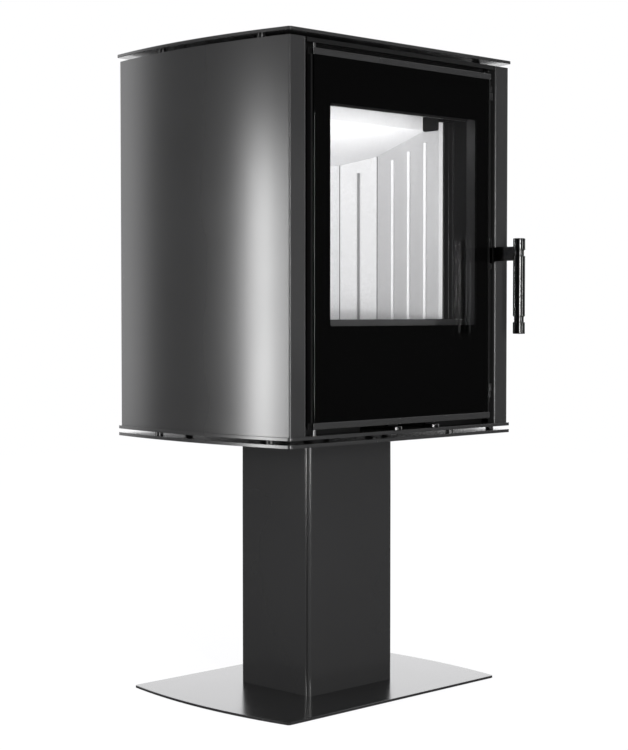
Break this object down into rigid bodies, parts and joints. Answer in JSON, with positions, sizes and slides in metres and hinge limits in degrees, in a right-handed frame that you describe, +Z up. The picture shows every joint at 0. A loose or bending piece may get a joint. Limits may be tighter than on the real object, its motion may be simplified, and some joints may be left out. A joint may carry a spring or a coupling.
{
  "type": "wood burning stove",
  "caption": "Wood burning stove on a square steel pedestal, with bowed painted sides, a full glass door with a rod handle, a brick-lined firebox and sliding air controls.",
  "frame": {"origin": "on the floor under the middle of the stove", "axes": "+Z up, the door faces -Y, +X to the right as seen from the front"},
  "size_m": [0.5368, 0.4952, 1.043],
  "materials": {
    "casing_paint": "satin",
    "door_paint": "matt",
    "firebox_plate": "matt",
    "fire_brick": "matt",
    "grate_iron": "rough",
    "ash_steel": "satin",
    "glass": "polished",
    "rope": "knitted",
    "bolt_steel": "zinc plated",
    "lock_steel": "turned",
    "bush_brass": "turned",
    "handle_steel": "polished",
    "control_steel": "satin"
  },
  "bodies": {
    "stove": {"air_plenum": "firebox_plate", "air_spigot": "firebox_plate", "ash_pan": "ash_steel", "back_lining": "fire_brick", "baffle": "fire_brick", "baffle_clips": "firebox_plate", "baffle_ledges": "firebox_plate", "base_plate": "casing_paint", "body_bolts": "bolt_steel", "brick_deck": "firebox_plate", "column_cover": "casing_paint", "column_foot_flange": "firebox_plate", "column_head_flange": "firebox_plate", "column_shell": "casing_paint", "corner_linings": "fire_brick", "door_keepers": "bolt_steel", "firebox_back_wall": "firebox_plate", "firebox_ceiling": "firebox_plate", "firebox_floor": "firebox_plate", "firebox_left_wall": "firebox_plate", "firebox_right_wall": "firebox_plate", "floor_lining": "fire_brick", "flue_collar": "firebox_plate", "flue_gasket": "rope", "flue_nuts": "bolt_steel", "foot_studs": "bolt_steel", "front_frame": "casing_paint", "grate": "grate_iron", "hinge_bushes": "bush_brass", "left_side_panel": "casing_paint", "lining_retainers": "firebox_plate", "log_guard": "firebox_plate", "lower_plate": "casing_paint", "panel_brackets": "firebox_plate", "plate_spacers": "bolt_steel", "rear_panel": "casing_paint", "right_side_panel": "casing_paint", "side_linings": "fire_brick", "slide_guides": "firebox_plate", "top_plate": "casing_paint", "top_spacers": "bolt_steel", "upper_baffle": "firebox_plate", "upper_plate": "casing_paint"},
    "door": {"door_frame": "door_paint", "door_glass": "glass", "glass_tape": "door_paint", "glass_rails": "casing_paint", "door_rope": "rope", "airwash_bar": "door_paint", "hinge_pins": "bolt_steel", "lock_bearings": "lock_steel"},
    "handle": {"lock_shaft": "lock_steel", "lock_cams": "lock_steel", "handle_arm": "handle_steel", "handle_grip": "handle_steel"},
    "primary_air": {"primary_air_slide": "control_steel", "primary_air_tab": "control_steel"},
    "secondary_air": {"secondary_air_slide": "control_steel", "secondary_air_tab": "control_steel"}
  },
  "joints": [
    {"name": "door_hinge", "type": "hinge", "parent": "stove", "child": "door", "pos_m": [-0.194, -0.1896, 0.709], "axis": [0, 0, -1], "range_deg": [0, 100]},
    {"name": "handle_turn", "type": "hinge", "parent": "door", "child": "handle", "pos_m": [0.2072, -0.186, 0.702], "axis": [0, 0, 1], "range_deg": [0, 25]},
    {"name": "primary_air_slide", "type": "slide", "parent": "stove", "child": "primary_air", "axis": [-1, 0, 0], "range_m": [0, 0.05]},
    {"name": "secondary_air_slide", "type": "slide", "parent": "stove", "child": "secondary_air", "axis": [-1, 0, 0], "range_m": [0, 0.05]}
  ]
}
